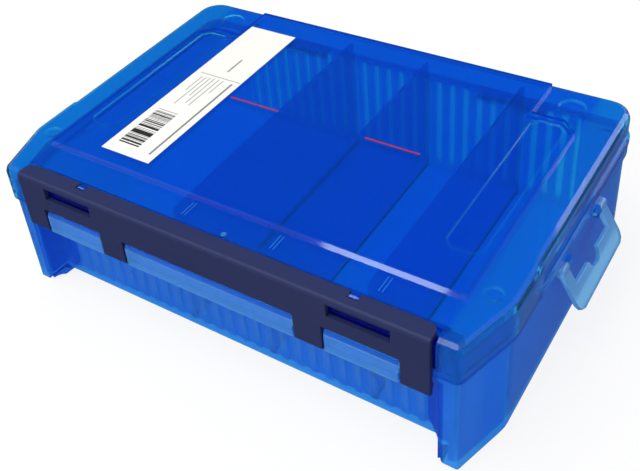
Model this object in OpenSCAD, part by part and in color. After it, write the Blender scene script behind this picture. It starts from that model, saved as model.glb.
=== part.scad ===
// Hinged-lid tackle box: ribbed tray, lid with a raised panel, full-width front latch,
// three slip-in dividers, a fold-out hanging tab and steel hinge pins.
// Millimetres. +X along the front, +Y to the hinge side, +Z up, origin under the tray's middle.

/* [Box] */
// Width along the front
box_w = 205; // [190:1:225]
// Depth from the latch's face to the hinge side
box_d = 145; // [130:1:165]
// Closed height to the top of the raised panel
box_h = 60; // [58:0.5:66]
// Front corner chamfer, along the front
chamfer_x = 7.5; // [5:0.5:9]
// Front corner chamfer, along the side
chamfer_y = 25.3; // [18:0.5:30]
// Rear corner radius
back_r = 10; // [7:0.5:12]
// Radius between the front and each chamfer
front_r = 3; // [2.5:0.25:5]
// Radius between each chamfer and the side
crease_r = 12; // [6:0.5:16]

/* [Tray] */
// How far the tray's walls stand in from the lid's outline
body_in = 1.2; // [1:0.1:1.4]
// Thickness of the tray's side walls
wall = 2.5; // [2.4:0.1:3]
// Thickness of the tray's floor
floor_t = 1.8; // [1.2:0.1:3]
// Height of the tray's rim
rim_z = 50.5; // [49:0.5:52]
// Thickness of the tray's front wall, back wall and rim
rim_t = 1.1; // [0.9:0.1:1.2]
// How far the front wall stands back from the latch's face
recess_d = 12.5; // [11:0.5:15]
// Height of the flange round the tray
flange_h = 4; // [3:0.25:5]
// Thickness of the front shelf's top plate
shelf_t = 1.5; // [1.2:0.1:2]
// Radius on the inner foot of each front pillar
pillar_r = 2.5; // [1.5:0.25:4]
// How far the pillars narrow from shelf to floor
pillar_taper = 1.4; // [0.5:0.1:2]
// Radius between each front pillar and the front wall
web_r = 10; // [6:0.5:10]
// Height over the floor where that radius is full
web_z = 16; // [10:0.5:20]
// Radius along the tray's lower edges
foot_r = 1.5; // [1:0.25:3]

/* [Ribs and dividers] */
// Spacing of the divider slots
slot_pitch = 6.1; // [5.6:0.1:7]
// Width of a rib
rib_w = 3.4; // [3:0.1:3.6]
// How far a rib stands out
rib_d = 1.2; // [0.8:0.1:1.6]
// Ribs on each side of the middle one
rib_n = 13; // [8:1:13]
// Divider thickness
div_t = 1.4; // [1.2:0.1:1.8]
// Clearance between the dividers and the lid
div_clear = 0.8; // [0.5:0.1:6]
// Slot number of the left divider, counted from the middle
slot_n_left = -4; // [-8:1:-3]
// Slot number of the middle divider
slot_n_middle = 2; // [0:1:5]
// Slot number of the right divider
slot_n_right = 9; // [7:1:11]

/* [Lid] */
// Thickness of the lid's skin
lid_t = 1.4; // [1.2:0.1:1.5]
// Height of the lid's lower edge
seam_z = 45.2; // [44:0.2:46]
// Height of the raised panel over the border
panel_h = 1.6; // [1:0.1:2]
// Width of the border beside the raised panel
border_w = 14.5; // [12:0.5:20]
// Radius round the lid's upper edge
edge_r = 2.4; // [1.5:0.1:2.8]
// Depth of the round stacking dimples
dimple_d = 0.8; // [0.4:0.1:1]
// Radius of the round stacking dimples
dimple_r = 5.2; // [4:0.1:5.5]
// How far the front corner skirts reach below the lid's edge
corner_drop = 2; // [1.6:0.1:3]

/* [Latch] */
// Length of the latch bar
latch_w = 171.8; // [165:0.2:172]
// Thickness of the latch's plates
latch_t = 1.9; // [1.6:0.1:2.1]
// Height of the latch's lower edge
latch_z = 34.4; // [33:0.2:37]
// Depth of the latch's top flange
latch_top = 7.1; // [6.8:0.1:8]
// Inner edge of the side notches, from the middle
notch_a = 47.5; // [45:0.5:49]
// Outer edge of the side notches, from the middle
notch_b = 75.8; // [72:0.2:77]
// Half width of the middle notch
notch_c = 36.8; // [30:0.2:40]
// Height of the notches' upper edge
notch_z = 45.5; // [45:0.1:47]
// Distance of the latch pivots from the middle
pivot_x = 57.5; // [52:0.5:70]
// Radius of the latch's rear corners
latch_corner = 3; // [0.5:0.25:4]

/* [Hanging tab] */
// Width of the hanging tab
tab_w = 44; // [38:0.5:50]
// Length of the hanging tab from its pivot
tab_l = 17; // [15:0.5:19]
// Thickness of the hanging tab
tab_t = 1.8; // [1.4:0.1:2]
// Distance of the tab's middle behind the tray's middle
tab_y = 13.3; // [0:0.5:20]
// Tab's lean away from the wall
tab_lean = 30; // [28:1:45]

/* [Hinge and pins] */
// Radius of the rear hinge knuckles
knuckle_r = 1.7; // [1.6:0.05:1.8]
// Radius of the rear hinge pins
pin_r = 0.8; // [0.7:0.05:0.9]
// Distance of the rear hinges from the middle
hinge_x = 52; // [35:1:75]
// Length of the tray's knuckle at each rear hinge
knuckle_l = 14; // [10:0.5:20]

/* [Hidden] */
run = 0.05;            // radial clearance of a pin in its bore
gap = 0.4;             // side clearance between knuckles
up_clear = 0.4;        // clearance between the tray's rim and the lid's inside
eps = 0.01;
half_w = box_w / 2;
half_d = box_d / 2;
corner_set = 1.2;      // front corners stand back from the latch's face
front_y = -half_d + corner_set;
neck_in = lid_t + up_clear;              // tray's neck inside the lid's deep corners
cav_in = body_in + wall;                 // inside of the tray
lid_in = cav_in - rim_t - up_clear;      // inside of the lid's side walls
lid_out = lid_in - lid_t;                // outside of the lid's side walls
knuckle_y = half_d - knuckle_r;          // rear hinge axis
knuckle_z = seam_z - 1.2;
back_gap = 0.3;        // between the knuckles and the tray's back wall
back_in = 2 * knuckle_r + back_gap;      // tray's back wall in from the lid's outline
back_slot_y = half_d - back_in - rim_t - 0.2;
wall_y = -half_d + recess_d;             // face of the tray's front wall
front_slot_y = wall_y + rim_t + 0.2;
flange_top = seam_z - 0.8;
flange_z = flange_top - flange_h;
pillar_x = latch_w / 2 + 1.3;            // inner side of the front corners
pocket_x = pillar_x + pillar_taper + 1.8; // inner side of the pockets in the pillars
border_z = box_h - panel_h;
slot_w = slot_pitch - rib_w;
rib_top = rim_z - 1.2;
neck_z = seam_z - corner_drop - 0.6;     // top of the tray's walls under those corners
corner_y = -half_d + 47.5;               // back end of the deep corners
latch_y = -half_d;     // latch's face
latch_h = border_z + 0.8;                // latch's top
lug_r = 1.35;          // latch lugs round the pivot
ear_r = 1.3;           // lid ears round the pivot
pivot_y = latch_y + latch_top - lug_r;
pivot_z = latch_h - lug_r;
swing_r = lug_r * sqrt(2);               // reach of the latch's rear edge as it turns
well_z = pivot_z - swing_r - 0.3;        // floor of the latch's well in the lid
well_y = pivot_y + swing_r + 0.3;        // back of the latch's well
skirt_y = latch_y + latch_t + gap;       // face of the lid's front skirt
latch_r = 1.2;         // bevel on the latch's long edge
win_a = notch_a + 2.5;                   // windows in the latch
win_b = notch_b - 3;
win_h = 5.4;
win_z = latch_h - 8;
block_gap = 0.8;
block_proud = 0.2;     // blocks stand behind the latch's face
ear_w = 3;             // lid ear at each latch pivot
lug_w = 2.6;           // latch lugs beside it
panel_x = half_w - border_w;
panel_y = -half_d + 20;                  // front edge of the raised panel
panel_back = half_d - 24.5;              // its back edge beside the middle stretch
panel_mid = panel_x - 19;                // half width of the middle stretch
panel_cut = 6;         // its rear corners
tab_arm = 5.6; tab_slot = 7.8; tab_hole = 4.7; tab_cut = 3.5;
tab_pin_r = 0.9;
tab_r = 1.7;           // tab bosses and tray ears
tab_x = half_w + 0.1; tab_z = flange_z - tab_r - 0.3;
tab_room = 0.9;        // depth of the relief in the wall behind the tab's bosses
div_h = border_z - lid_t - div_clear - floor_t;
dent_d = 0.6;          // long dents in the panel
dent_x0 = half_w - 31.3; dent_x1 = half_w - 18.1;
dent_y0 = -half_d + 38.5; dent_y1 = half_d - 28.5;
dent_cut = 3;
dimple_small = dimple_r * 0.6;
dimple_front = [half_w - 8.5, -half_d + 27.3];
dimple_back = [half_w - 21.7, half_d - 13];
label_x0 = -half_w + 35.5; label_x1 = -half_w + 59;
label_y0 = -half_d + 27; label_y1 = half_d - 16.5;
label_t = 0.12;

// ---- outline shared by the lid and the tray: inset d, and db at the back ----
function n_len() = sqrt(chamfer_x * chamfer_x + chamfer_y * chamfer_y);
function n_x() = chamfer_y / n_len();
function n_y() = -chamfer_x / n_len();
function n_c() = n_x() * (half_w - chamfer_x) + n_y() * front_y;
function ch_x(d, y) = (n_c() - d - n_y() * y) / n_x();
function ch_at(d, x) = (n_c() - d - n_x() * x) / n_y();
function turn() = atan2(n_x(), -n_y());
function rf(d) = max(front_r - d, 0.5);
function rc(d) = max(crease_r - d, 1);
function rb(d, db) = max(back_r - max(d, db), 1);
function arc(c, r, a0, a1, n) = [for (i = [0:n]) let (a = a0 + (a1 - a0) * i / n)
                                 [c[0] + r * sin(a), c[1] - r * cos(a)]];
function side(d, db) = concat(
    arc([half_w - d - rc(d), ch_at(d + rc(d), half_w - d - rc(d))], rc(d), turn(), 90, 2),
    arc([half_w - d - rb(d, db), half_d - db - rb(d, db)], rb(d, db), 90, 180, 7));
function half(d, db) = concat(
    arc([ch_x(d + rf(d), front_y + d + rf(d)), front_y + d + rf(d)], rf(d), 0, turn(), 6),
    side(d, db));
function mir(p) = [for (i = [len(p) - 1:-1:0]) [-p[i][0], p[i][1]]];
function ring(d, db) = concat(half(d, db), mir(half(d, db)));
// inside of the tray, grown by e
function pocket_y(e) = max(front_y + cav_in - e, ch_at(cav_in - e, pocket_x - e + 0.8));
function cav_half(e) = concat(
    [[pocket_x - e, front_slot_y - e], [pocket_x - e, pocket_y(e)],
     [ch_x(cav_in - e, pocket_y(e)), pocket_y(e)]],
    side(cav_in - e, half_d - back_slot_y - e));
function cavity(e) = concat(cav_half(e), mir(cav_half(e)));

module framed_ring(d, db, z0, z1) {
    translate([0, 0, z0]) linear_extrude(z1 - z0) polygon(ring(d, db));
}

// a ring whose upper edge is rounded in two steps
module rounded_ring(d, z0, z1) {
    r = edge_r;
    m = r * (1 - cos(45));
    framed_ring(d, d, z0, z1 - r);
    hull() {
        framed_ring(d, d, z1 - r - eps, z1 - r);
        framed_ring(d + m, d + m, z1 - m - eps, z1 - m);
    }
    hull() {
        framed_ring(d + m, d + m, z1 - m - eps, z1 - m);
        framed_ring(d + r, d + r, z1 - eps, z1);
    }
}

module box(p, q) {
    translate(p) cube([q[0] - p[0], q[1] - p[1], q[2] - p[2]]);
}

module rod_x(r, x0, x1, y, z) {
    translate([x0, y, z]) rotate([0, 90, 0]) cylinder(r = r, h = x1 - x0, $fn = 48);
}

module rod_y(r, y0, y1, x, z) {
    translate([x, y1, z]) rotate([90, 0, 0]) cylinder(r = r, h = y1 - y0, $fn = 48);
}

// ---- tray ----
module pillar_foot(s) {
    foot = pillar_x + pillar_taper;
    translate([0, wall_y, 0]) rotate([90, 0, 0]) linear_extrude(recess_d + 1) polygon(concat(
        [[s * (foot - 1), -1], [s * (foot - 1), pillar_r]],
        [for (a = [180:15:270]) [s * (foot + pillar_r + pillar_r * cos(a)), pillar_r + pillar_r * sin(a)]],
        [[s * (foot + pillar_r), -1]]));
}

module tray_recess() {
    foot = pillar_x + pillar_taper;
    translate([0, wall_y, 0]) rotate([90, 0, 0]) linear_extrude(recess_d + 1) polygon(
        [[-foot, -1], [foot, -1], [foot, 0], [pillar_x, flange_top - shelf_t],
         [-pillar_x, flange_top - shelf_t], [-foot, 0]]);
    for (s = [-1, 1]) pillar_foot(s);
}

module shelf_lip() {
    lip = front_y + neck_in;
    box([-pillar_x - 1, lip, flange_z], [pillar_x + 1, lip + shelf_t, flange_top]);
}

module block(x0, x1) {
    face = latch_y + block_proud;
    back = front_y + neck_in + shelf_t / 2;
    low = latch_z + 0.1;
    translate([x0, 0, 0]) rotate([90, 0, 90]) linear_extrude(x1 - x0) polygon(
        [[face, low], [back, low], [back, flange_top], [face + 2.2, flange_top],
         [face + 0.8, flange_top - 0.7], [face, flange_top - 2.2]]);
}

// fillet between a pillar and the front wall, which fades out towards the floor
module pillar_web(s) {
    x0 = pillar_x - web_r;
    x1 = pillar_x + pillar_taper + 0.5;
    arc_r = web_z * 1.2;
    intersection() {
        linear_extrude(flange_top) difference() {
            polygon([[s * x0, wall_y + 0.3], [s * x1, wall_y + 0.3],
                     [s * x1, wall_y - web_r], [s * x0, wall_y - web_r]]);
            translate([s * x0, wall_y - web_r]) circle(r = web_r, $fn = 72);
        }
        translate([0, wall_y + 1, 0]) rotate([90, 0, 0])
            linear_extrude(wall_y + 0.9 - front_y - neck_in) polygon(concat(
            [[s * (x1 - 0.2), pillar_r + 0.3], [s * (pillar_x + 0.3), flange_top - shelf_t / 2],
             [s * (x0 - 1), flange_top - shelf_t / 2], [s * (x0 - 1), web_z]],
            [for (i = [0:6]) let (z = web_z - (web_z - 0.2) * i / 6)
                [s * (x0 + arc_r - sqrt(arc_r * arc_r - (web_z - z) * (web_z - z))), z]]));
    }
}

// room for rounded lower edges
module sled() {
    arcs = [for (a = [0:15:90]) [foot_r - foot_r * cos(a), foot_r - foot_r * sin(a)]];
    y0 = front_y + body_in;
    y1 = half_d - back_in;
    x1 = half_w - body_in;
    intersection() {
        translate([-half_w, 0, 0]) rotate([90, 0, 90]) linear_extrude(box_w) polygon(concat(
            [[y0, neck_z]], [for (p = arcs) [y0 + p[0], p[1]]],
            [for (i = [6:-1:0]) [y1 - arcs[i][0], arcs[i][1]]], [[y1, neck_z]]));
        translate([0, half_d, 0]) rotate([90, 0, 0]) linear_extrude(box_d) polygon(concat(
            [[-x1, neck_z]], [for (p = arcs) [p[0] - x1, p[1]]],
            [for (i = [6:-1:0]) [x1 - arcs[i][0], arcs[i][1]]], [[x1, neck_z]]));
    }
}

// relief behind the hanging tab's bosses
module tab_relief() {
    box([half_w - body_in - tab_room, tab_y - tab_w / 2 - gap, tab_z - tab_r - gap],
        [half_w + 1, tab_y + tab_w / 2 + gap, flange_z]);
}

module ribs() {
    for (k = [-rib_n:rib_n]) {
        box([k * slot_pitch - rib_w / 2, front_slot_y - 0.3, floor_t - 0.1],
            [k * slot_pitch + rib_w / 2, front_slot_y + rib_d, rib_top]);
        box([k * slot_pitch - rib_w / 2, back_slot_y - rib_d, floor_t - 0.1],
            [k * slot_pitch + rib_w / 2, back_slot_y + 0.3, rib_top]);
    }
}

module side_flanges() {
    y0 = corner_y + gap + 0.2;
    reach = half_w - back_r - 2;
    intersection() {
        framed_ring(0.2, back_in - rim_t - 0.3, flange_z, flange_top);
        for (s = [-1, 1])
            box([s > 0 ? reach : -half_w, y0, 0], [s > 0 ? half_w : -reach, half_d, flange_top]);
    }
}

module tab_ears() {
    for (s = [-1, 1]) {
        y = tab_y + s * (tab_w / 2 - tab_arm - 0.3 - 1.5);
        difference() {
            union() {
                rod_y(tab_r, y - 1.5, y + 1.5, tab_x, tab_z);
                box([half_w - body_in - tab_room - 0.5, y - 1.5, tab_z], [tab_x + 1, y + 1.5, flange_z + 0.5]);
            }
            rod_y(tab_pin_r + run, y - 2, y + 2, tab_x, tab_z);
        }
    }
}

module tray_knuckle(x) {
    rod_x(knuckle_r, x - knuckle_l / 2, x + knuckle_l / 2, knuckle_y, knuckle_z);
    box([x - knuckle_l / 2, half_d - back_in - 0.3, knuckle_z - knuckle_r],
        [x + knuckle_l / 2, knuckle_y, knuckle_z + 0.4]);
}

module tray() {
    color([0.1, 0.35, 0.85, 0.8]) difference() {
        union() {
            difference() {
                union() {
                    difference() {
                        intersection() {
                            framed_ring(body_in, back_in, 0, neck_z);
                            sled();
                        }
                        tab_relief();
                    }
                    framed_ring(neck_in, back_in, neck_z - eps, flange_top);
                    side_flanges();
                    translate([0, 0, flange_top - eps]) linear_extrude(rim_z - flange_top + eps)
                        polygon(cavity(rim_t));
                }
                tray_recess();
                translate([0, 0, floor_t]) linear_extrude(rim_z) polygon(cavity(0));
            }
            shelf_lip();
            for (s = [-1, 1]) pillar_web(s);
            for (s = [-1, 1]) block(s > 0 ? notch_a + block_gap : -notch_b + block_gap,
                                    s > 0 ? notch_b - block_gap : -notch_a - block_gap);
            block(-notch_c + block_gap, notch_c - block_gap);
            ribs();
            tab_ears();
            for (s = [-1, 1]) tray_knuckle(s * hinge_x);
        }
        for (s = [-1, 1]) rod_x(pin_r + run, s * hinge_x - knuckle_l, s * hinge_x + knuckle_l,
                                knuckle_y, knuckle_z);
    }
}

// ---- lid ----
function panel_pts(e) = [
    [-panel_x + e, panel_y + e], [panel_x - e, panel_y + e],
    [panel_x - e, panel_back - panel_cut], [panel_x - panel_cut, panel_back - e],
    [panel_mid - e, panel_back - e], [panel_mid - e, half_d - lid_out - edge_r],
    [-panel_mid + e, half_d - lid_out - edge_r], [-panel_mid + e, panel_back - e],
    [-panel_x + panel_cut, panel_back - e], [-panel_x + e, panel_back - panel_cut]];

module panel_shape() {
    b = 1.1;
    intersection() {
        translate([0, 0, border_z - 0.5]) linear_extrude(panel_h + 0.5) polygon(panel_pts(0));
        translate([-half_w, 0, 0]) rotate([90, 0, 90]) linear_extrude(box_w) polygon(
            [[panel_y, border_z - 1], [panel_y, border_z], [panel_y + b, box_h],
             [half_d, box_h], [half_d, border_z - 1]]);
    }
}

module dent(s) {
    c = dent_cut;
    translate([0, 0, box_h - dent_d]) linear_extrude(dent_d + 1) polygon(
        [for (p = [[dent_x0 + c, dent_y0], [dent_x1 - c, dent_y0], [dent_x1, dent_y0 + c],
                   [dent_x1, dent_y1 - c], [dent_x1 - c, dent_y1], [dent_x0 + c, dent_y1],
                   [dent_x0, dent_y1 - c], [dent_x0, dent_y0 + c]]) [s * p[0], p[1]]]);
}

module dimple(s, at, r) {
    translate([s * at[0], at[1], border_z - dimple_d]) cylinder(r = r, h = 2, $fn = 48);
}

module lid_shell() {
    difference() {
        union() {
            rounded_ring(lid_out, seam_z, border_z);
            framed_ring(0, 0, seam_z, seam_z + 2.8);
            intersection() {
                rounded_ring(0, seam_z - corner_drop, border_z);
                for (s = [-1, 1]) box([s > 0 ? pillar_x : -half_w, -half_d, 0],
                                      [s > 0 ? half_w : -pillar_x, corner_y, box_h]);
            }
            panel_shape();
        }
        // well for the latch's flange, and the set-back front skirt
        box([-pillar_x, -half_d - 1, well_z], [pillar_x, well_y, box_h + 1]);
        box([-pillar_x, -half_d - 1, 0], [pillar_x, skirt_y, box_h]);
    }
}

module lid_hollow() {
    top = border_z - lid_t;
    // middle and back
    intersection() {
        framed_ring(lid_in, lid_t, 0, top);
        box([-half_w, well_y + lid_t, 0], [half_w, half_d, box_h]);
    }
    // deep front corners
    intersection() {
        framed_ring(lid_t, lid_t, 0, top);
        for (s = [-1, 1]) {
            box([s > 0 ? pillar_x + lid_t : -half_w, -half_d, 0],
                [s > 0 ? half_w : -pillar_x - lid_t, corner_y - lid_t, box_h]);
            box([s > 0 ? 0 : -half_w, -half_d, 0], [s > 0 ? half_w : 0, corner_y + 1, seam_z]);
        }
    }
    // under the well
    box([-pillar_x - lid_t - eps, skirt_y + lid_t, 0], [pillar_x + lid_t + eps, well_y + lid_t + eps, well_z - lid_t]);
    // under the raised panel
    translate([0, 0, top - eps]) linear_extrude(panel_h) polygon(panel_pts(lid_t));
}

module lid_ear(x) {
    rod_x(ear_r, x - ear_w / 2, x + ear_w / 2, pivot_y, pivot_z);
    box([x - ear_w / 2, pivot_y - ear_r, well_z - 0.3],
        [x + ear_w / 2, pivot_y + ear_r, pivot_z]);
}

module lid_knuckle(x) {
    l = knuckle_l / 2;
    for (s = [-1, 1]) {
        x0 = s > 0 ? x + l + gap : x - 2 * l - gap;
        rod_x(knuckle_r, x0, x0 + l, knuckle_y, knuckle_z);
        box([x0, knuckle_y - 1.2, knuckle_z], [x0 + l, half_d, seam_z + 1.5]);
    }
}

module lid() {
    color([0.05, 0.3, 0.8, 0.8]) difference() {
        union() {
            difference() {
                lid_shell();
                lid_hollow();
                for (s = [-1, 1]) {
                    dent(s);
                    dimple(s, dimple_back, dimple_r);
                    dimple(s, dimple_front, dimple_small);
                    rod_x(knuckle_r + gap, s * hinge_x - knuckle_l / 2 - gap,
                          s * hinge_x + knuckle_l / 2 + gap, knuckle_y, knuckle_z);
                }
            }
            for (s = [-1, 1]) {
                lid_knuckle(s * hinge_x);
                lid_ear(s * pivot_x);
            }
        }
        for (s = [-1, 1]) {
            rod_x(pin_r + run, s * hinge_x - knuckle_l - 1, s * hinge_x + knuckle_l + 1,
                  knuckle_y, knuckle_z);
            rod_x(pin_r + run, s * pivot_x - ear_w, s * pivot_x + ear_w, pivot_y, pivot_z);
        }
    }
}

// ---- latch ----
module latch_section() {
    x0 = -latch_w / 2;
    translate([x0, 0, 0]) rotate([90, 0, 90]) linear_extrude(latch_w) polygon(
        [[latch_y, latch_z + 0.5], [latch_y, latch_h - latch_r], [latch_y + latch_r * 0.35, latch_h - latch_r * 0.35],
         [latch_y + latch_r, latch_h], [latch_y + latch_top, latch_h],
         [latch_y + latch_top, latch_h - latch_t], [latch_y + latch_t, latch_h - latch_t],
         [latch_y + latch_t, latch_z + 4.6], [latch_y + latch_t + 0.9, latch_z + 4],
         [latch_y + latch_t + 0.9, latch_z + 3], [latch_y + latch_t, latch_z + 1.4],
         [latch_y + latch_t, latch_z], [latch_y + 0.5, latch_z]]);
}

module latch_cut(x0, x1, z0, z1) {
    box([x0, latch_y - 1, z0], [x1, latch_y + latch_t + 1.5, z1]);
}

// rounds a rear corner of the latch's top
module latch_end(s) {
    x = latch_w / 2 - latch_corner;
    y = latch_y + latch_top - latch_corner;
    translate([0, 0, latch_h - latch_t - 1]) linear_extrude(latch_t + 2) difference() {
        polygon([[s * x, y], [s * (x + latch_corner + 1), y],
                 [s * (x + latch_corner + 1), y + latch_corner + 1], [s * x, y + latch_corner + 1]]);
        translate([s * x, y]) circle(r = latch_corner, $fn = 48);
    }
}

module latch() {
    color([0.13, 0.14, 0.3]) difference() {
        union() {
            latch_section();
            for (s = [-1, 1], t = [-1, 1]) {
                x = s * pivot_x + t * (ear_w / 2 + gap + lug_w / 2);
                rod_x(lug_r, x - lug_w / 2, x + lug_w / 2, pivot_y, pivot_z);
            }
        }
        latch_cut(-notch_c, notch_c, 0, notch_z);
        for (s = [-1, 1]) {
            latch_cut(s > 0 ? notch_a : -notch_b, s > 0 ? notch_b : -notch_a, 0, notch_z);
            latch_cut(s > 0 ? win_a : -win_b, s > 0 ? win_b : -win_a, win_z, win_z + win_h);
            latch_end(s);
            // room for the lid's ear
            box([s * pivot_x - ear_w / 2 - gap, pivot_y - ear_r - gap, pivot_z - 2 * lug_r],
                [s * pivot_x + ear_w / 2 + gap, pivot_y + 2 * lug_r, latch_h + 1]);
            rod_x(pin_r + run, s * pivot_x - 6, s * pivot_x + 6, pivot_y, pivot_z);
        }
    }
}

// ---- hanging tab, leaning out from the wall ----
module tab_flat() {
    w = tab_w / 2;
    difference() {
        // plate in the plane of the tab: first value along the hinge, second down the tab
        polygon([[-w, 0], [-w, -tab_l + tab_cut], [-w + tab_cut * 0.3, -tab_l + tab_cut * 0.3],
                 [-w + tab_cut, -tab_l], [w - tab_cut, -tab_l],
                 [w - tab_cut * 0.3, -tab_l + tab_cut * 0.3], [w, -tab_l + tab_cut], [w, 0]]);
        translate([-w + tab_arm, -tab_slot]) square([tab_w - 2 * tab_arm, tab_slot + 1]);
        translate([0, -tab_slot + 0.6]) circle(r = tab_hole, $fn = 48);
    }
}

module hang_tab() {
    color([0.5, 0.72, 0.95]) translate([tab_x, tab_y, tab_z]) rotate([0, -tab_lean, 0]) {
        translate([-tab_t / 2, 0, 0]) rotate([90, 0, 90]) linear_extrude(tab_t) tab_flat();
        for (s = [-1, 1]) {
            a = s > 0 ? tab_w / 2 - tab_arm : -tab_w / 2;
            rod_y(tab_r, a, a + tab_arm, 0, 0);
            b = s > 0 ? tab_w / 2 - tab_arm - 3.6 : -tab_w / 2 + tab_arm - 0.5;
            rod_y(tab_pin_r, b, b + 4.1, 0, 0);
        }
    }
}

// ---- dividers ----
module divider(k) {
    x = (k + 0.5) * slot_pitch;
    y0 = front_slot_y + 0.3;
    y1 = back_slot_y - 0.3;
    color([0.15, 0.45, 0.9]) union() {
        box([x - div_t / 2, y0, floor_t], [x + div_t / 2, y1, floor_t + div_h]);
        for (y = [y0, y1 - rib_d - 0.6])
            box([x - slot_w / 2 + 0.3, y, floor_t], [x + slot_w / 2 - 0.3, y + rib_d + 0.6, rib_top]);
    }
}

module divider_left() { divider(slot_n_left); }
module divider_middle() { divider(slot_n_middle); }
module divider_right() { divider(slot_n_right); }

// ---- pins and label ----
module hinge_pin(s) {
    color([0.75, 0.75, 0.78]) rod_x(pin_r, s * hinge_x - knuckle_l - gap, s * hinge_x + knuckle_l + gap,
                                    knuckle_y, knuckle_z);
}
module hinge_pin_left() { hinge_pin(-1); }
module hinge_pin_right() { hinge_pin(1); }

module latch_pin(s) {
    l = ear_w / 2 + gap + lug_w - 0.1;
    color([0.75, 0.75, 0.78]) rod_x(pin_r, s * pivot_x - l, s * pivot_x + l, pivot_y, pivot_z);
}
module latch_pin_left() { latch_pin(-1); }
module latch_pin_right() { latch_pin(1); }

module label() {
    color([0.95, 0.95, 0.93]) box([label_x0, label_y0, box_h], [label_x1, label_y1, box_h + label_t]);
}

tray();
lid();
latch();
hang_tab();
divider_left();
divider_middle();
divider_right();
hinge_pin_left();
hinge_pin_right();
latch_pin_left();
latch_pin_right();
label();
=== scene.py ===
# %% [markdown]
# # A hinged-lid tackle box
# The box is moulded in clear blue plastic: a ribbed tray, a lid with a raised panel, a dark
# latch bar along the front, loose dividers and a small tab to hang it by. Every shape and every
# place comes from the CAD model. This file gives the pieces their soft moulded edges, their
# colours, the marks that moulding and printing leave, and the light.

# %% Load the CAD model
import math

import bmesh
import bpy
from mathutils import Matrix, Vector


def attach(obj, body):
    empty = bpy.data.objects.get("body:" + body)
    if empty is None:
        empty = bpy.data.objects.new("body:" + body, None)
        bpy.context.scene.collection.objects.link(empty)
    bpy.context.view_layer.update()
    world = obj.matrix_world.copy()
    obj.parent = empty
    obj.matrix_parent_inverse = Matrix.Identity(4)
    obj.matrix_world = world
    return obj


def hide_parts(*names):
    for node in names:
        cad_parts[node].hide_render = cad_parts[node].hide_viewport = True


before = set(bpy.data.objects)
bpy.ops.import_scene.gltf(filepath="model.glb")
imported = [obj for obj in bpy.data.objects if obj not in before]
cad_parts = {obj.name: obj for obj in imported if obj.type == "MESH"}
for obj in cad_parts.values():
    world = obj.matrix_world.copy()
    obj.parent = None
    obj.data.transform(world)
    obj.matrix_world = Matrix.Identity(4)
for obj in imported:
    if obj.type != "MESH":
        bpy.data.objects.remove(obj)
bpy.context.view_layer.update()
print("CAD nodes:", ", ".join(sorted(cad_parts)))

MM = 0.001

# %% [markdown]
# The camera comes first, because every later choice is judged through it. Its place was worked
# out from corners and edges of the box, so it is written as a place and two directions. The
# picture was cropped off centre, which a small lens shift repeats.

# %% Camera
SENSOR_MM = 36.0
LENS_MM = 53.83
SHIFT = (0.0434, -0.1715)
CLIP = (0.01, 20.0)
CAMERA_AT = Vector((170.79, -243.16, 272.88)) * MM
CAMERA_RIGHT = Vector((0.83503, 0.54387, -0.08323))
CAMERA_FORWARD = Vector((-0.48529, 0.65677, -0.57718))


def turned(right, forward):
    """Euler angles of a camera that looks along forward and has right on its right."""
    back = -forward.normalized()
    up = back.cross(right).normalized()
    return Matrix((up.cross(back), up, back)).transposed().to_euler()


lens = bpy.data.cameras.new("camera")
lens.sensor_width = SENSOR_MM
lens.lens = LENS_MM
lens.shift_x, lens.shift_y = SHIFT
lens.clip_start, lens.clip_end = CLIP
camera = bpy.data.objects.new("camera", lens)
camera.location = CAMERA_AT
camera.rotation_euler = turned(CAMERA_RIGHT, CAMERA_FORWARD)
bpy.context.scene.collection.objects.link(camera)
bpy.context.scene.camera = camera
print("camera turned by", [round(math.degrees(a), 2) for a in camera.rotation_euler])

# %% [markdown]
# A shader is a chain of nodes. These few helpers keep the chains readable: one adds a maths
# node, one a noise, one a ramp between two values. Each returns the socket that comes out, so
# that calls can be put inside calls.

# %% Helpers for node trees
def put(tree, value, socket):
    """Wires a socket, or writes a plain value."""
    if isinstance(value, bpy.types.NodeSocket):
        tree.links.new(value, socket)
    else:
        socket.default_value = value


def maths(tree, kind, a, b=0.0):
    node = tree.nodes.new("ShaderNodeMath")
    node.operation = kind
    put(tree, a, node.inputs[0])
    put(tree, b, node.inputs[1])
    return node.outputs[0]


def noise(tree, place, scale, detail):
    node = tree.nodes.new("ShaderNodeTexNoise")
    put(tree, place, node.inputs["Vector"])
    node.inputs["Scale"].default_value = scale
    node.inputs["Detail"].default_value = detail
    node.inputs["Roughness"].default_value = 0.5
    return node.outputs["Fac"]


def ramp(tree, value, low, high, to_low=0.0, to_high=1.0):
    node = tree.nodes.new("ShaderNodeMapRange")
    put(tree, value, node.inputs["Value"])
    ends = {"From Min": low, "From Max": high, "To Min": to_low, "To Max": to_high}
    for name, number in ends.items():
        put(tree, number, node.inputs[name])
    return node.outputs[0]


def blend(tree, share, a, b):
    """Mixes two colours. A share above 1 goes past the second."""
    node = tree.nodes.new("ShaderNodeMix")
    node.data_type = "RGBA"
    node.clamp_factor = False
    put(tree, share, node.inputs[0])
    put(tree, a, node.inputs[6])
    put(tree, b, node.inputs[7])
    return node.outputs[2]


def stretched(tree, scale, turn=(0, 0, 0)):
    """Object coordinates, scaled and turned."""
    place = tree.nodes.new("ShaderNodeTexCoord")
    mapping = tree.nodes.new("ShaderNodeMapping")
    mapping.inputs["Scale"].default_value = scale
    mapping.inputs["Rotation"].default_value = turn
    tree.links.new(place.outputs["Object"], mapping.inputs["Vector"])
    return mapping.outputs["Vector"]


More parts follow.
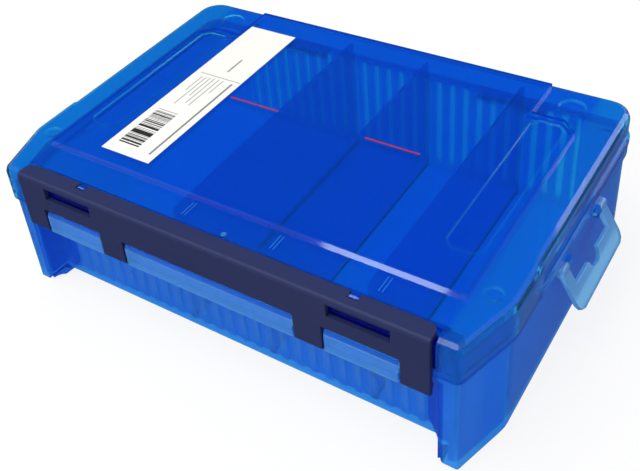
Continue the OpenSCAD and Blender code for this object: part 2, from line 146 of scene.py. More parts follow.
def new_group(name, inputs, outputs):
    """An empty shader group with named colour ('C') and number ('F') sockets."""
    kinds = {"C": "NodeSocketColor", "F": "NodeSocketFloat"}
    group = bpy.data.node_groups.new(name, "ShaderNodeTree")
    for way, sockets in (("INPUT", inputs), ("OUTPUT", outputs)):
        for socket, kind in sockets:
            group.interface.new_socket(socket, in_out=way, socket_type=kinds[kind])
    given = group.nodes.new("NodeGroupInput").outputs
    return group, given, group.nodes.new("NodeGroupOutput").inputs


# %% [markdown]
# Moulded plastic is never quite even. The melt flows in from one side and leaves soft clouds in
# the tint, the tool's polish leaves patches that are a little duller, and handling adds
# hairlines. Every plastic here shows the same three things in its own strength, so they are one
# node group. Hairlines come from a noise that is stretched a long way in one direction.

# %% Moulded surface
EVEN = (1, 1, 1)
CLOUD_STRETCH, CLOUD_SCALE = (1, 2.2, 1), 16
PATCH_SCALE, GRAIN_SCALE = 160, 900
HAIRS_ALONG = ((26, 1500, 1500), (0, 0, 0.5), (0.70, 0.76))    # stretch, turn, the noise kept
HAIRS_ACROSS = ((1300, 30, 1300), (0, 0, -0.25), (0.71, 0.77))
HAIR_DULLS, HAIR_DEPTH = 0.15, 0.05


def hairs(tree, stretch, turn, kept):
    return ramp(tree, noise(tree, stretched(tree, stretch, turn), 1, 1), *kept)


moulded_surface, given, out = new_group(
    "moulded surface",
    (("Tint", "C"), ("Thin tint", "C"), ("Clouds", "F"), ("Dullness", "F"), ("Mottle", "F"),
     ("Hairlines", "F"), ("Grain", "F")),
    (("Color", "C"), ("Roughness", "F"), ("Height", "F")))
tree = moulded_surface
flow = noise(tree, stretched(tree, CLOUD_STRETCH), CLOUD_SCALE, 3)
cloud = maths(tree, "MULTIPLY", given["Clouds"], ramp(tree, flow, 0.3, 0.7))
tree.links.new(blend(tree, cloud, given["Tint"], given["Thin tint"]), out["Color"])

both = maths(tree, "MAXIMUM", hairs(tree, *HAIRS_ALONG), hairs(tree, *HAIRS_ACROSS))
hairlines = maths(tree, "MULTIPLY", given["Hairlines"], both)
patches = noise(tree, stretched(tree, EVEN), PATCH_SCALE, 3)
duller = maths(tree, "MULTIPLY", given["Mottle"], ramp(tree, patches, 0.35, 0.7))
added = maths(tree, "ADD", duller, maths(tree, "MULTIPLY", hairlines, HAIR_DULLS))
tree.links.new(maths(tree, "ADD", given["Dullness"], added), out["Roughness"])

fine = noise(tree, stretched(tree, EVEN), GRAIN_SCALE, 1)
bumps = maths(tree, "MULTIPLY", fine, given["Grain"])
scratches = maths(tree, "MULTIPLY", hairlines, HAIR_DEPTH)
tree.links.new(maths(tree, "SUBTRACT", bumps, scratches), out["Height"])
print("group made:", moulded_surface.name)

# %% [markdown]
# The tint isn't the same everywhere. Where the tray's wall is thin it is paler. Elsewhere light
# is painted into the tint: places are made paler where light falls on them, with painted
# highlights along edges, and deeper where shade falls. A group for each of the two big mouldings
# finds those places from the Object coordinates, in millimetres, and puts out two masks. Painting
# them by hand would need a picture, and this way they follow the numbers. First come the small
# tools that the two groups share.

# %% Tools for masks
# The two numbers below size the painted highlights: thin bright lines of tint along edges.
GLINT_HALF = 0.15         # half the width of a bright line, in millimetres
GLINT_FADE = 2.5          # it has faded out at this many times that
SLACK = 0.3             # a mask starts this far outside the face that it is for


def place_group(name):
    """A group with the object's own X, Y and Z in millimetres, and two masks: paler and painted
    light, painted shade.
    """
    group, given, out = new_group(name, (), (("Paler_and_painted_light", "F"), ("Painted_shade", "F")))
    axes = group.nodes.new("ShaderNodeSeparateXYZ")
    scale = 1 / MM
    group.links.new(stretched(group, (scale, scale, scale)), axes.inputs[0])
    return group, out, axes.outputs["X"], axes.outputs["Y"], axes.outputs["Z"]


def all_of(tree, *masks):
    """The product of masks. A plain number among them sets the strength."""
    total = masks[0]
    for mask in masks[1:]:
        total = maths(tree, "MULTIPLY", total, mask)
    return total


def any_of(tree, *masks):
    total = masks[0]
    for mask in masks[1:]:
        total = maths(tree, "MAXIMUM", total, mask)
    return total


def above(tree, value, limit):
    return maths(tree, "GREATER_THAN", value, limit)


def under(tree, value, limit):
    return maths(tree, "LESS_THAN", value, limit)


def away(tree, value, centre):
    """How far a value is from a centre."""
    return maths(tree, "ABSOLUTE", maths(tree, "SUBTRACT", value, centre))


# The line that rim draws is a painted highlight wherever it tints a mask paler.
def rim(tree, distance):
    """1 on a line where a distance is 0, fading out beside it."""
    return ramp(tree, maths(tree, "ABSOLUTE", distance), GLINT_HALF, GLINT_HALF * GLINT_FADE, 1.0, 0.0)


print("a bright rim is", 2 * GLINT_HALF, "mm wide")

# %% [markdown]
# On the lid, light is painted into the tint: the low border round its raised panel is paler,
# most of all beside the panel, and painted highlights run along the edges of its two long dents
# and four round dimples. A dent is a rectangle with cut corners, and the greatest of three
# distances follows its rim. Behind the latch, where lid, latch and tray lie over each other, shade
# is painted: the lid is tinted deeper there.

# %% Painted light and shade on the lid
BORDER_TOP = 58.4
BORDER_FADE = (0.02, 0.15)      # over this height the panel's bevel leaves the border
PANEL_X = 88.0
# The painted light in front of the panel is this share of that beside it.
FRONT_LIGHT_SHARE = 0.25              # paler plastic in front of the panel, against that beside it
DENT_AT, DENT_HALF, DENT_CUT = (77.8, 5.0), (6.6, 39.0), 3.0
DIMPLES = ((94.0, -45.2, 3.1), (80.8, 59.5, 5.2))     # x and y, and the radius
# A painted highlight on a rim is this many times as strong as the border's painted light.
RIM_GLINT_SHARE = 3.0                 # how much paler a rim is than the border
LATCH_BACK_Y, LATCH_REACH_Z, PILLAR_X = -66.0, 56.0, 87.2

lid_painted_light_and_shade, out, x, y, z = place_group("painted light and shade on the lid")
tree = lid_painted_light_and_shade
side_x = maths(tree, "ABSOLUTE", x)
# Painted light: the low border round the panel is tinted paler, beside the panel more than in
# front.
low = ramp(tree, z, BORDER_TOP + BORDER_FADE[0], BORDER_TOP + BORDER_FADE[1], 1.0, 0.0)
beside = ramp(tree, side_x, PANEL_X - 1, PANEL_X + 1, FRONT_LIGHT_SHARE, 1.0)

# Painted highlights: thin paler lines along the rims of the two dents and the four dimples.
over_x = maths(tree, "SUBTRACT", away(tree, side_x, DENT_AT[0]), DENT_HALF[0])
over_y = maths(tree, "SUBTRACT", away(tree, y, DENT_AT[1]), DENT_HALF[1])
past_cut = maths(tree, "ADD", maths(tree, "ADD", over_x, over_y), DENT_CUT)
corner = maths(tree, "MULTIPLY", past_cut, math.sqrt(0.5))
rim_glints = all_of(tree, rim(tree, any_of(tree, over_x, over_y, corner)),
              above(tree, z, BORDER_TOP + 0.5))
for at_x, at_y, radius in DIMPLES:
    dx = maths(tree, "SUBTRACT", side_x, at_x)
    dy = maths(tree, "SUBTRACT", y, at_y)
    squares = maths(tree, "ADD", maths(tree, "MULTIPLY", dx, dx), maths(tree, "MULTIPLY", dy, dy))
    past = maths(tree, "SUBTRACT", maths(tree, "SQRT", squares), radius)
    rim_glints = any_of(tree, rim_glints, all_of(tree, rim(tree, past), above(tree, z, BORDER_TOP - 1)))
tree.links.new(any_of(tree, all_of(tree, low, beside), all_of(tree, rim_glints, RIM_GLINT_SHARE)), out["Paler_and_painted_light"])
# Painted shade: behind the latch the lid's front is tinted deeper, for the shade that falls there.
tree.links.new(all_of(tree, under(tree, y, LATCH_BACK_Y), under(tree, z, LATCH_REACH_Z),
                      under(tree, side_x, PILLAR_X)), out["Painted_shade"])
print("group made:", lid_painted_light_and_shade.name)

# %% [markdown]
# The tray is paler in the slots between its ribs, where the wall is thin. Light is painted on
# its front, on the faces of its three ledge blocks and, as painted highlights, along their edges.
# The slots repeat, so the fraction of x over the pitch finds all of them at once. Shade is painted
# on the tops of the blocks and the insides of the corner pillars, which are tinted deeper.

# %% Thin slots, painted light and shade on the tray
RIB_PITCH, RIB_COUNT = 6.1, 13.5        # half of the 27 pitches lie on each side
SLOT_SIDES = (0.25, 0.31)               # a slot starts here, in pitches from a rib's middle
SLOT_FOOT, SLOT_HEAD = (3, 9), (46, 49)     # the heights where a slot fades in and out
BACK_Y, FRONT_Y, WALL_Y = (60, 61), (-59, -58), -60.0
FRONT_SLOTS = 0.17                      # the front wall's slots, against the back wall's
# The whole front is tinted paler by this much, as painted light.
FRONT_PAINTED_LIGHT = 0.055                     # the front as a whole, which the light meets first
BLOCK_X, BLOCK_BACK_Y, BLOCK_Y = 76.0, -69.0, -71.8
BLOCK_LOW, BLOCK_SPLIT = 34.5, 42.1
# Strengths of the painted light on the block faces, the painted highlights on their edges and the
# painted shade on their tops.
BLOCK_FACE_LIGHT, BLOCK_GLINTS, BLOCK_TOP_SHADE = 0.27, 0.75, 0.5
# The painted shade inside the corner pillars lies in this box, at the strength given below.
PILLAR_SIDES = (PILLAR_X - 9, PILLAR_X + 2)
PILLAR_DEPTH = (-71.0, WALL_Y - 0.2)
PILLAR_TOP, PILLAR_SHADE = 40, 0.8

tray_slots_painted_light_and_shade, out, x, y, z = place_group("slots, painted light and shade on the tray")
tree = tray_slots_painted_light_and_shade
side_x = maths(tree, "ABSOLUTE", x)
# The added 100.5 keeps the fraction's input above 0 and puts a rib's middle at one half.
pitches = maths(tree, "ADD", maths(tree, "DIVIDE", x, RIB_PITCH), 100.5)
from_rib = away(tree, maths(tree, "FRACT", pitches), 0.5)
slots = all_of(tree, ramp(tree, from_rib, *SLOT_SIDES),
               under(tree, side_x, RIB_PITCH * RIB_COUNT),
               ramp(tree, z, *SLOT_FOOT), ramp(tree, z, *SLOT_HEAD, 1.0, 0.0))
back = ramp(tree, y, *BACK_Y)
front = all_of(tree, ramp(tree, y, *FRONT_Y, 1.0, 0.0), above(tree, y, WALL_Y - SLACK))
slots = all_of(tree, slots, maths(tree, "ADD", back, all_of(tree, front, FRONT_SLOTS)))
# Painted light on the front faces.
front_painted_light = all_of(tree, under(tree, y, WALL_Y + 1.5), FRONT_PAINTED_LIGHT)

on_block = all_of(tree, under(tree, side_x, BLOCK_X), under(tree, y, BLOCK_BACK_Y),
                  above(tree, z, BLOCK_LOW - SLACK))
# Painted light on the block faces, and painted highlights along their lower and upper edges.
lit_block_face = all_of(tree, on_block, under(tree, z, BLOCK_SPLIT), under(tree, y, BLOCK_Y))
low_glint = rim(tree, maths(tree, "SUBTRACT", z, BLOCK_LOW + 0.1))
high_glint = rim(tree, maths(tree, "SUBTRACT", z, BLOCK_SPLIT))
block_glints = all_of(tree, on_block, any_of(tree, low_glint, high_glint))
tree.links.new(any_of(tree, slots, front_painted_light, all_of(tree, lit_block_face, BLOCK_FACE_LIGHT),
                      all_of(tree, block_glints, BLOCK_GLINTS)), out["Paler_and_painted_light"])

# Painted shade on the block tops and inside the corner pillars.
shaded_block_top = all_of(tree, on_block, above(tree, z, BLOCK_SPLIT))
pillar_shade = all_of(tree, above(tree, side_x, PILLAR_SIDES[0]),
                   under(tree, side_x, PILLAR_SIDES[1]), above(tree, y, PILLAR_DEPTH[0]),
                   under(tree, y, PILLAR_DEPTH[1]), under(tree, z, PILLAR_TOP))
tree.links.new(any_of(tree, all_of(tree, shaded_block_top, BLOCK_TOP_SHADE),
                      all_of(tree, pillar_shade, PILLAR_SHADE)), out["Painted_shade"])
print("group made:", tray_slots_painted_light_and_shade.name)

# %% [markdown]
# Each material puts the surface group in front of Blender's Principled shader. For the clear
# pieces the shader lets most light through, and the wall's own tint colours it. A little of the
# light is scattered instead, which is why the real walls look lit from inside. The refraction is
# weaker than real plastic's, so that thin walls bend less and their edges stay clear of dark
# lines, and a clear coat over it gives back the mirror of polished plastic.

# %% The plastics' shader
COAT_IOR = 1.5
COAT_ROUGHNESS = 0.05
BUMP_STRENGTH = 0.5


def new_material(name):
    material = bpy.data.materials.new(name)
    material.use_nodes = True
    tree = material.node_tree
    return material, tree, tree.nodes["Principled BSDF"]


def plastic(name, tint, thin_tint, dullness, clouds=0.5, mottle=0.05, hairlines=0.3,
            grain=0.15, relief_mm=0.02, transmission=0.0, ior=1.46, specular=0.5, coat=0.0,
            region=None):
    """Moulded plastic. A region is a group that picks between two more tints by place."""
    material, tree, shader = new_material(name)
    surface = tree.nodes.new("ShaderNodeGroup")
    surface.node_tree = moulded_surface
    values = {"Tint": (*tint, 1), "Thin tint": (*thin_tint, 1), "Clouds": clouds,
              "Dullness": dullness, "Mottle": mottle, "Hairlines": hairlines, "Grain": grain}
    for socket, value in values.items():
        surface.inputs[socket].default_value = value
    # The region's paler colour carries painted light and highlights, and its deeper one painted
    # shade.
    if region:
        group, paler, deeper = region
        where = tree.nodes.new("ShaderNodeGroup")
        where.node_tree = group
        for socket, colour in (("Tint", tint), ("Thin tint", thin_tint)):
            pale = blend(tree, where.outputs["Paler_and_painted_light"], (*colour, 1), (*paler, 1))
            both = blend(tree, where.outputs["Painted_shade"], pale, (*deeper, 1))
            tree.links.new(both, surface.inputs[socket])
    bump = tree.nodes.new("ShaderNodeBump")
    bump.inputs["Strength"].default_value = BUMP_STRENGTH
    bump.inputs["Distance"].default_value = relief_mm * MM
    tree.links.new(surface.outputs["Height"], bump.inputs["Height"])
    tree.links.new(surface.outputs["Color"], shader.inputs["Base Color"])
    tree.links.new(surface.outputs["Roughness"], shader.inputs["Roughness"])
    tree.links.new(bump.outputs["Normal"], shader.inputs["Normal"])
    shader.inputs["Transmission Weight"].default_value = transmission
    shader.inputs["IOR"].default_value = ior
    shader.inputs["Specular IOR Level"].default_value = specular
    shader.inputs["Coat Weight"].default_value = coat
    shader.inputs["Coat IOR"].default_value = COAT_IOR
    shader.inputs["Coat Roughness"].default_value = COAT_ROUGHNESS
    return material


print("every clear coat has an IOR of", COAT_IOR)

# %% [markdown]
# The box is one blue in several strengths. The lid is the deepest, because it is seen over
# everything else. The tray scatters more light and is paler, and the tab is palest of all. The
# latch isn't clear: it is a nearly black navy with a dull, grained face that hides fingerprints.

# %% Plastic materials
# In a region, the first colour is the paler tint: painted light and painted highlights, and on the
# tray the thin slots too. The second is painted shade.
lid_plastic = plastic(
    "lid blue", (0.005, 0.245, 0.84), (0.010, 0.29, 0.87), 0.05, grain=0.03,
    transmission=0.92, ior=1.12, coat=1.0,
    region=(lid_painted_light_and_shade, (0.022, 0.40, 0.84), (0.002, 0.02, 0.30)))
tray_plastic = plastic(
    "tray blue", (0.024, 0.31, 0.91), (0.030, 0.34, 0.93), 0.09, hairlines=0.15, grain=0.04,
    relief_mm=0.008, transmission=0.70, ior=1.18, coat=0.4,
    region=(tray_slots_painted_light_and_shade, (0.46, 0.93, 1.0), (0.004, 0.09, 0.66)))
divider_plastic = plastic(
    "divider blue", (0.06, 0.31, 0.83), (0.09, 0.36, 0.86), 0.10, hairlines=0.1,
    transmission=0.95, ior=1.04)
tab_plastic = plastic(
    "tab pale blue", (0.22, 0.58, 0.96), (0.26, 0.62, 0.97), 0.10, hairlines=0.1,
    transmission=0.6, ior=1.28, coat=1.0)
mark_plastic = plastic(
    "moulding marks", (0.04, 0.36, 0.95), (0.06, 0.40, 0.95), 0.12, hairlines=0,
    transmission=0.6, ior=1.35, specular=0.6)
latch_plastic = plastic(
    "latch navy", (0.018, 0.026, 0.095), (0.024, 0.031, 0.105), 0.45, mottle=0.08,
    hairlines=0.1, grain=0.5, relief_mm=0.03, specular=0.2)
stripe_ink = plastic(
    "red print", (0.36, 0.02, 0.05), (0.40, 0.03, 0.06), 0.4, clouds=0.8, hairlines=0)
print("materials so far:", ", ".join(m.name for m in bpy.data.materials))

# %% [markdown]
# The pins are drawn steel wire. Drawing leaves fine lines along the wire, so the noise is
# squeezed across it and hardly changes along it.

# %% Pin steel
STEEL = (0.55, 0.56, 0.58, 1)
DRAWN_STRETCH = (120, 9000, 9000)
STEEL_ROUGHNESS = (0.22, 0.42)
pin_steel, tree, shader = new_material("pin steel")
shader.inputs["Metallic"].default_value = 1.0
shader.inputs["Base Color"].default_value = STEEL
drawn = noise(tree, stretched(tree, DRAWN_STRETCH), 1, 2)
tree.links.new(ramp(tree, drawn, 0.3, 0.7, *STEEL_ROUGHNESS), shader.inputs["Roughness"])
print("steel is dull by", STEEL_ROUGHNESS)

# %% [markdown]
# The sticker carries plain marks only: a block of bars, some thin rules and a few lines, and no
# words. Each mark is a rectangle cut from the Object coordinates, so the print stays crisp at
# any distance. The bars need no picture either: White Noise gives every narrow strip of the
# block its own number, and strips with a high enough number are inked.

# %% Printed marks
BAR_MM = 0.27
INKED = 0.42                                # strips with a number above this are inked
BARS_AT = (-63.6, -53.6, -39.5, -14.5)      # x from and to, y from and to, in millimetres
RULE_HALF = 0.28
RULES = ((-62.0, 0.5, 12.0), (-60.0, -9.5, 12.2), (-58.0, -2.0, 12.6), (-56.0, -7.0, 13.0),
         (-53.8, -8.0, 13.0), (-51.6, 3.0, 13.0))     # x, y from and to
LINES = ((-64.2, -44.2, 14.3, 14.7), (-54.6, -53.8, 19.5, 30.2), (-47.3, -46.3, -41.0, 12.6))
LINE_INK = 0.75
FIBRE_SCALE, PAPER_ROUGHNESS = 900, (0.34, 0.46)

printed, given, out = new_group(
    "printed marks", (("Paper", "C"), ("Ink", "C"), ("Grey", "C")),
    (("Color", "C"), ("Roughness", "F")))
place = printed.nodes.new("ShaderNodeTexCoord")
split = printed.nodes.new("ShaderNodeSeparateXYZ")
printed.links.new(place.outputs["Object"], split.inputs[0])
across, along = split.outputs["X"], split.outputs["Y"]


def mark(x0, x1, y0, y1):
    """1 inside a rectangle of the sticker, in millimetres."""
    return all_of(printed, above(printed, across, x0 * MM), under(printed, across, x1 * MM),
                  above(printed, along, y0 * MM), under(printed, along, y1 * MM))


dice = printed.nodes.new("ShaderNodeTexWhiteNoise")
dice.noise_dimensions = "1D"
strip = maths(printed, "FLOOR", maths(printed, "DIVIDE", along, BAR_MM * MM))
printed.links.new(strip, dice.inputs["W"])
bars = all_of(printed, mark(*BARS_AT), above(printed, dice.outputs["Value"], INKED))
rules = any_of(printed, *(mark(x - RULE_HALF, x + RULE_HALF, y0, y1) for x, y0, y1 in RULES))
lines = any_of(printed, *(mark(*line) for line in LINES))
base = blend(printed, rules, given["Paper"], given["Grey"])
base = blend(printed, all_of(printed, lines, LINE_INK), base, given["Ink"])
printed.links.new(blend(printed, bars, base, given["Ink"]), out["Color"])
fibres = noise(printed, place.outputs["Object"], FIBRE_SCALE, 3)
printed.links.new(ramp(printed, fibres, 0.3, 0.7, *PAPER_ROUGHNESS), out["Roughness"])
print("sticker marks:", len(RULES), "rules, bars", BAR_MM, "mm wide")

# %% [markdown]
# The sticker itself is coated white paper. It is a little warm beside the blue, and its ink is
# nearly black. The colours are inputs of the group, so another sticker can reuse the marks.

# %% Sticker
COLOURS = {"Paper": (0.88, 0.87, 0.83, 1), "Ink": (0.02, 0.02, 0.025, 1),
           "Grey": (0.38, 0.38, 0.40, 1)}
label_paper, tree, shader = new_material("sticker")
marks = tree.nodes.new("ShaderNodeGroup")
marks.node_tree = printed
for socket, colour in COLOURS.items():
    marks.inputs[socket].default_value = colour
tree.links.new(marks.outputs["Color"], shader.inputs["Base Color"])
tree.links.new(marks.outputs["Roughness"], shader.inputs["Roughness"])
print("sticker colours:", ", ".join(COLOURS))

# %% [markdown]
# A moulded part has no razor edge. Each plastic CAD node is copied, its loose triangles are
# merged into one skin, flat triangles are dissolved into whole faces, and a live Bevel modifier
# rounds what is left. The Weighted Normal modifier then keeps the big faces looking flat. A
# Bevel shader node would be quicker, but it would leave the mesh itself sharp.

# %% Moulded copies
MERGE = 1e-6
FLAT = math.radians(0.4)
EDGE_ANGLE = math.radians(15.8)
FACE_WEIGHT = 80        # how much a big face counts against a small one


def merged_copy(node):
    """The mesh of a CAD node as one closed skin of whole faces."""
    skin = bmesh.new()
    skin.from_mesh(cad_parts[node].data)
    bmesh.ops.remove_doubles(skin, verts=skin.verts, dist=MERGE)
    bmesh.ops.dissolve_limit(skin, angle_limit=FLAT, verts=skin.verts, edges=skin.edges)
    open_edges = sum(1 for e in skin.edges if not e.is_manifold)
    for face in skin.faces:
        face.smooth = True
    mesh = bpy.data.meshes.new(node + "_moulded")
    skin.to_mesh(mesh)
    skin.free()
    print(f"{node}: {len(mesh.polygons)} faces, {open_edges} open edges")
    return mesh


def moulded(node, body, material, edge_mm, steps=2):
    """A copy of a CAD node with rounded edges, which stands for the node."""
    piece = bpy.data.objects.new(node + "_moulded", merged_copy(node))
    bpy.context.scene.collection.objects.link(piece)
    piece.data.materials.clear()
    piece.data.materials.append(material)
    rounding = piece.modifiers.new("rounded edges", "BEVEL")
    rounding.width = edge_mm * MM
    rounding.segments = steps
    rounding.limit_method = "ANGLE"
    rounding.angle_limit = EDGE_ANGLE
    rounding.use_clamp_overlap = True
    flat = piece.modifiers.new("flat faces", "WEIGHTED_NORMAL")
    flat.weight = FACE_WEIGHT
    flat.keep_sharp = False
    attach(piece, body)
    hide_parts(node)
    return piece


# %% [markdown]
# The rounding is as wide as on the real pieces: widest on the thick latch, narrow on the thin
# dividers. The pins and the sticker stay as the CAD model has them, and only get their material.

# %% Dress the CAD nodes
moulded("lid", "lid", lid_plastic, 0.3)
moulded("tray", "base", tray_plastic, 0.35)
moulded("latch", "latch", latch_plastic, 0.45, steps=3)
moulded("hang_tab", "hang_tab", tab_plastic, 0.3)
for side in ("left", "middle", "right"):
    moulded("divider_" + side, "base", divider_plastic, 0.2)


def dress(node, material):
    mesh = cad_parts[node].data
    mesh.materials.clear()
    mesh.materials.append(material)


for node in ("hinge_pin_left", "hinge_pin_right", "latch_pin_left", "latch_pin_right"):
    dress(node, pin_steel)
dress("label", label_paper)

# %% [markdown]
# Two red stripes are printed on the raised panel. Ink has hardly any thickness, but a thin slab
# shows better at a low angle than a painted patch, and it stays where it is when the lid opens.
# The gap between the stripes is bare.

# %% Printed stripes
PANEL_TOP = 60.0
STRIPE_DOWN, STRIPE_UP = 0.02, 0.05
STRIPES = ((-41.8, -18.6), (20.6, 43.6))
STRIPE_Y = 4.8
STRIPE_HALF = 0.42


def slab(skin, low, high):
    """A closed box between two corners in millimetres, added to a bmesh."""
    low, high = Vector(low), Vector(high)
    for v in bmesh.ops.create_cube(skin, size=1.0)["verts"]:
        v.co = ((low + high) / 2 + v.co * (high - low)) * MM


def piece_from(skin, name, material, body):
    mesh = bpy.data.meshes.new(name)
    skin.to_mesh(mesh)
    skin.free()
    mesh.materials.append(material)
    piece = bpy.data.objects.new(name, mesh)
    bpy.context.scene.collection.objects.link(piece)
    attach(piece, body)
    return piece


skin = bmesh.new()
for x0, x1 in STRIPES:
    slab(skin, (x0, STRIPE_Y - STRIPE_HALF, PANEL_TOP - STRIPE_DOWN),
         (x1, STRIPE_Y + STRIPE_HALF, PANEL_TOP + STRIPE_UP))
piece_from(skin, "panel_stripes", stripe_ink, "lid")
print("stripes at y", STRIPE_Y)

# %% [markdown]
# The lid's front strip has three pairs of low ridges, left by the tool. They repeat, so Geometry
# Nodes makes them: three points carry one pair each, and a pair is a short line of two bars.
# The sizes are named inputs of the tree, so another box can reuse it.

# %% Ridge tree
RIDGE_SIZES = {"Length": 0.006, "Width": 0.0003, "Height": 0.0002, "Gap": 0.0013}


def ridge_tree():
    tree = bpy.data.node_groups.new("ridge pairs", "GeometryNodeTree")

    def socket(name, way, kind):
        return tree.interface.new_socket(name, in_out=way, socket_type="NodeSocket" + kind)

    socket("Geometry", "INPUT", "Geometry")
    for name, number in RIDGE_SIZES.items():
        socket(name, "INPUT", "Float").default_value = number
    socket("Material", "INPUT", "Material")
    socket("Geometry", "OUTPUT", "Geometry")
    nodes, links = tree.nodes, tree.links
    source = nodes.new("NodeGroupInput")
    result = nodes.new("NodeGroupOutput")
    bar_size = nodes.new("ShaderNodeCombineXYZ")
    for name, axis in (("Width", "X"), ("Length", "Y"), ("Height", "Z")):
        links.new(source.outputs[name], bar_size.inputs[axis])
    bar = nodes.new("GeometryNodeMeshCube")
    links.new(bar_size.outputs[0], bar.inputs["Size"])
    step = nodes.new("ShaderNodeCombineXYZ")
    links.new(source.outputs["Gap"], step.inputs["X"])
    two = nodes.new("GeometryNodeMeshLine")
    two.inputs["Count"].default_value = 2
    links.new(step.outputs[0], two.inputs["Offset"])
    pair = nodes.new("GeometryNodeInstanceOnPoints")
    links.new(two.outputs[0], pair.inputs["Points"])
    links.new(bar.outputs["Mesh"], pair.inputs["Instance"])
    pairs = nodes.new("GeometryNodeInstanceOnPoints")
    links.new(source.outputs["Geometry"], pairs.inputs["Points"])
    links.new(pair.outputs[0], pairs.inputs["Instance"])
    real = nodes.new("GeometryNodeRealizeInstances")
    links.new(pairs.outputs[0], real.inputs[0])
    finish = nodes.new("GeometryNodeSetMaterial")
    links.new(real.outputs[0], finish.inputs["Geometry"])
    links.new(source.outputs["Material"], finish.inputs["Material"])
    links.new(finish.outputs[0], result.inputs["Geometry"])
    return tree


ridge_pairs = ridge_tree()
print("tree made:", ridge_pairs.name, "with", len(ridge_pairs.nodes), "nodes")

# %% [markdown]
# A tree's result lives only inside its modifier. The ridges are wanted as a plain mesh that any
# program can read, so the carrier is evaluated once, its mesh is kept and the carrier goes. Only
# the plain piece then gets its body.

# %% Ridge pairs
RIDGE_X = (-14.8, 22.4, 63.3)
RIDGE_Y = (-61.0, -54.0)
HALF_GAP = 0.00065


def evaluated(carrier, tree, values, name):
    """Runs a tree on an object and returns its result as a plain mesh object."""
    modifier = carrier.modifiers.new("nodes", "NODES")
    modifier.node_group = tree
    sockets = {s.name: s.identifier for s in tree.interface.items_tree if s.in_out == "INPUT"}
    for socket, value in values.items():
        modifier[sockets[socket]] = value
    bpy.context.view_layer.update()
    ready = carrier.evaluated_get(bpy.context.evaluated_depsgraph_get())
    mesh = bpy.data.meshes.new_from_object(ready)
    carrier.modifiers.remove(modifier)
    bpy.data.objects.remove(carrier)
    mesh.name = name
    piece = bpy.data.objects.new(name, mesh)
    bpy.context.scene.collection.objects.link(piece)
    return piece


starts = bpy.data.meshes.new("ridge starts")
ridge_mid = sum(RIDGE_Y) / 2
starts.from_pydata([(x * MM - HALF_GAP, ridge_mid * MM, BORDER_TOP * MM) for x in RIDGE_X],
                   [], [])
carrier = bpy.data.objects.new("ridge starts", starts)
bpy.context.scene.collection.objects.link(carrier)
ridge_values = {"Length": (RIDGE_Y[1] - RIDGE_Y[0]) * MM, "Material": mark_plastic}
ridges = evaluated(carrier, ridge_pairs, ridge_values, "strip_ridges")
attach(ridges, "lid")
print("ridges:", len(ridges.data.polygons), "faces")

# %% [markdown]
# Beside the latch sits the mark of the gate, where the melt entered the tool: a low blister with
# a dimple in it. It is a surface of revolution, so its outline is spun round one axis. A point
# on the axis closes it at the top and another at the bottom.

# %% Gate mark
GATE_AT = (4.1, -62.6)
GATE_OUTLINE = ((0.0, 0.10), (0.35, 0.12), (0.6, 0.28), (0.85, 0.30), (1.05, 0.18),
                (1.15, -0.05))      # radius and height over the border
GATE_STEPS = 24


def gate_point(radius, height, turn=0.0):
    return Vector((GATE_AT[0] + radius * math.cos(turn), GATE_AT[1] + radius * math.sin(turn),
                   BORDER_TOP + height)) * MM


skin = bmesh.new()
rings = [[skin.verts.new(gate_point(radius, height, 2 * math.pi * k / GATE_STEPS))
          for k in range(GATE_STEPS)] for radius, height in GATE_OUTLINE[1:]]
top = skin.verts.new(gate_point(0, GATE_OUTLINE[0][1]))
bottom = skin.verts.new(gate_point(0, GATE_OUTLINE[-1][1]))
for k in range(GATE_STEPS):
    after = (k + 1) % GATE_STEPS
    skin.faces.new((top, rings[0][k], rings[0][after]))
    for inner, outer in zip(rings, rings[1:]):
        skin.faces.new((inner[k], outer[k], outer[after], inner[after]))
    skin.faces.new((bottom, rings[-1][after], rings[-1][k]))
for face in skin.faces:
    face.smooth = True
print("gate mark:", len(skin.faces), "faces")
piece_from(skin, "gate_mark", mark_plastic, "lid")

# %% [markdown]
# Clear plastic shows what is behind it and mirrors what is around it, and the two need different
# amounts of light. The room is white where it is seen, and only pale in mirrors. A dark cloth
# hangs behind the box, where the flat lid mirrors it for the camera. So the lid stays clear and
# deep, while every rounded edge still mirrors the pale room as a thin light line. Cycles counts
# a ray that goes through rough plastic as glossy too, so a mirror ray is one that is glossy and
# doesn't pass through.

# %% Room
ROOM = 0.5                              # what lights the box from all sides
ROOM_MIRRORED, DARK_MIRRORED = 0.36, 0.02
DARK_TOWARDS = (-0.48, 0.66, 0.58)
DARK, DARK_FADE = 22, 33                # half angles of the cloth, in degrees


def ray_kinds(tree):
    """The Light Path node's outputs, and 1 for mirror rays."""
    rays = tree.nodes.new("ShaderNodeLightPath").outputs
    passing = maths(tree, "SUBTRACT", 1.0, rays["Is Transmission Ray"])
    return rays, maths(tree, "MULTIPLY", rays["Is Glossy Ray"], passing)


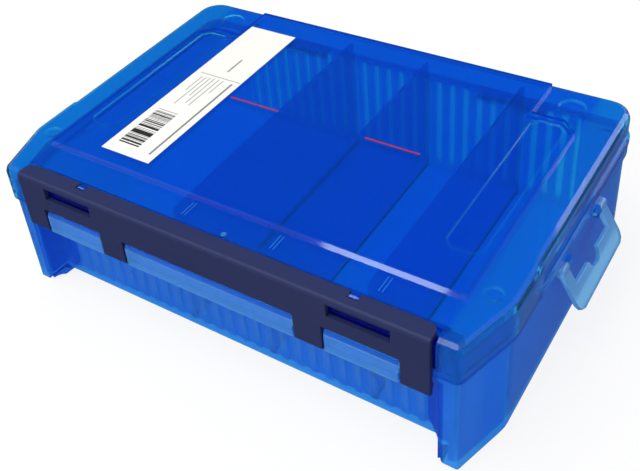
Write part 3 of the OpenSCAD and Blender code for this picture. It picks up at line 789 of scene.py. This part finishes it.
world = bpy.data.worlds.new("room")
bpy.context.scene.world = world
world.use_nodes = True
tree = world.node_tree
room = tree.nodes["Background"]
room.inputs["Color"].default_value = (1, 1, 1, 1)
rays, mirrored = ray_kinds(tree)
seen = maths(tree, "MAXIMUM", rays["Is Camera Ray"], rays["Is Transmission Ray"])
plain = maths(tree, "ADD", maths(tree, "MULTIPLY", seen, 1 - ROOM), ROOM)
direction = tree.nodes.new("ShaderNodeTexCoord")
towards = tree.nodes.new("ShaderNodeVectorMath")
towards.operation = "DOT_PRODUCT"
tree.links.new(direction.outputs["Generated"], towards.inputs[0])
towards.inputs[1].default_value = Vector(DARK_TOWARDS).normalized()
in_mirrors = ramp(tree, towards.outputs["Value"], math.cos(math.radians(DARK_FADE)),
                  math.cos(math.radians(DARK)), ROOM_MIRRORED, DARK_MIRRORED)
unmirrored = maths(tree, "MULTIPLY", plain, maths(tree, "SUBTRACT", 1.0, mirrored))
strength = maths(tree, "ADD", unmirrored, maths(tree, "MULTIPLY", in_mirrors, mirrored))
tree.links.new(strength, room.inputs["Strength"])
print("room lights with", ROOM, "and mirrors with", ROOM_MIRRORED)

# %% [markdown]
# The light is that of a small product table. A wide softbox overhead lights everything evenly. A
# small, slightly blue key low at the front left is mirrored by the panel's front bevel, which
# draws the bright line there. A weak lamp behind, on the right, lifts the back edges.

# %% Softboxes
def softbox(name, at, size, power, aim=(0, 0, 0.03), colour=(1, 1, 1)):
    data = bpy.data.lights.new(name, "AREA")
    data.shape = "RECTANGLE"
    data.size, data.size_y = size
    data.energy = power
    data.color = colour
    lamp = bpy.data.objects.new(name, data)
    lamp.location = Vector(at)
    lamp.rotation_euler = (Vector(aim) - Vector(at)).to_track_quat("-Z", "Y").to_euler()
    bpy.context.scene.collection.objects.link(lamp)
    print(name, "at", at, "m,", power, "W")


softbox("overhead", (-0.25, -0.45, 1.15), (1.3, 1.3), 15)
softbox("key", (-0.37, -1.09, 0.456), (0.2, 0.06), 0.32, aim=(0.064, -0.05, 0.06),
        colour=(0.76, 0.94, 1.0))
softbox("rim", (0.45, 0.85, 0.6), (0.5, 0.3), 1)

bpy.context.scene.view_settings.view_transform = "Standard"

# %% [markdown]
# The table is a plain pale floor. Part of what it shows is its own glow, seen by the camera and
# through the clear plastic, so that it stays white without more light on the box. The rest is
# ordinary diffuse white, which keeps the box's shadow. In mirrors the floor is nearly dark, or
# it would lay a grey veil over the walls.

# %% Floor
GLOW_SEEN = 0.84
GLOW_THROUGH = 0.95
GLOW_MIRRORED = 0.08
FLOOR_HALF, FLOOR_DOWN = 6, 0.0002
FLOOR_WHITE = (0.92, 0.92, 0.92, 1)
floor_mesh = bpy.data.meshes.new("floor")
skin = bmesh.new()
bmesh.ops.create_grid(skin, x_segments=1, y_segments=1, size=FLOOR_HALF)
skin.to_mesh(floor_mesh)
skin.free()
floor = bpy.data.objects.new("floor", floor_mesh)
floor.location.z = -FLOOR_DOWN
bpy.context.scene.collection.objects.link(floor)

floor_material, tree, shader = new_material("floor")
shader.inputs["Base Color"].default_value = FLOOR_WHITE
shader.inputs["Roughness"].default_value = 0.8
shader.inputs["Specular IOR Level"].default_value = 0.0
glow = tree.nodes.new("ShaderNodeEmission")
rays, mirrored = ray_kinds(tree)
seen = maths(tree, "MULTIPLY", rays["Is Camera Ray"], GLOW_SEEN)
through = maths(tree, "MULTIPLY", rays["Is Transmission Ray"], GLOW_THROUGH)
dimmed = maths(tree, "MULTIPLY", mirrored, 1 - GLOW_MIRRORED)
tree.links.new(maths(tree, "SUBTRACT", 1.0, dimmed), glow.inputs["Strength"])
mix = tree.nodes.new("ShaderNodeMixShader")
tree.links.new(any_of(tree, seen, mirrored, through), mix.inputs["Fac"])
tree.links.new(shader.outputs[0], mix.inputs[1])
tree.links.new(glow.outputs[0], mix.inputs[2])
tree.links.new(mix.outputs[0], tree.nodes["Material Output"].inputs["Surface"])
floor_mesh.materials.append(floor_material)
print("floor glows", GLOW_SEEN, "to the camera and", GLOW_THROUGH, "through plastic")
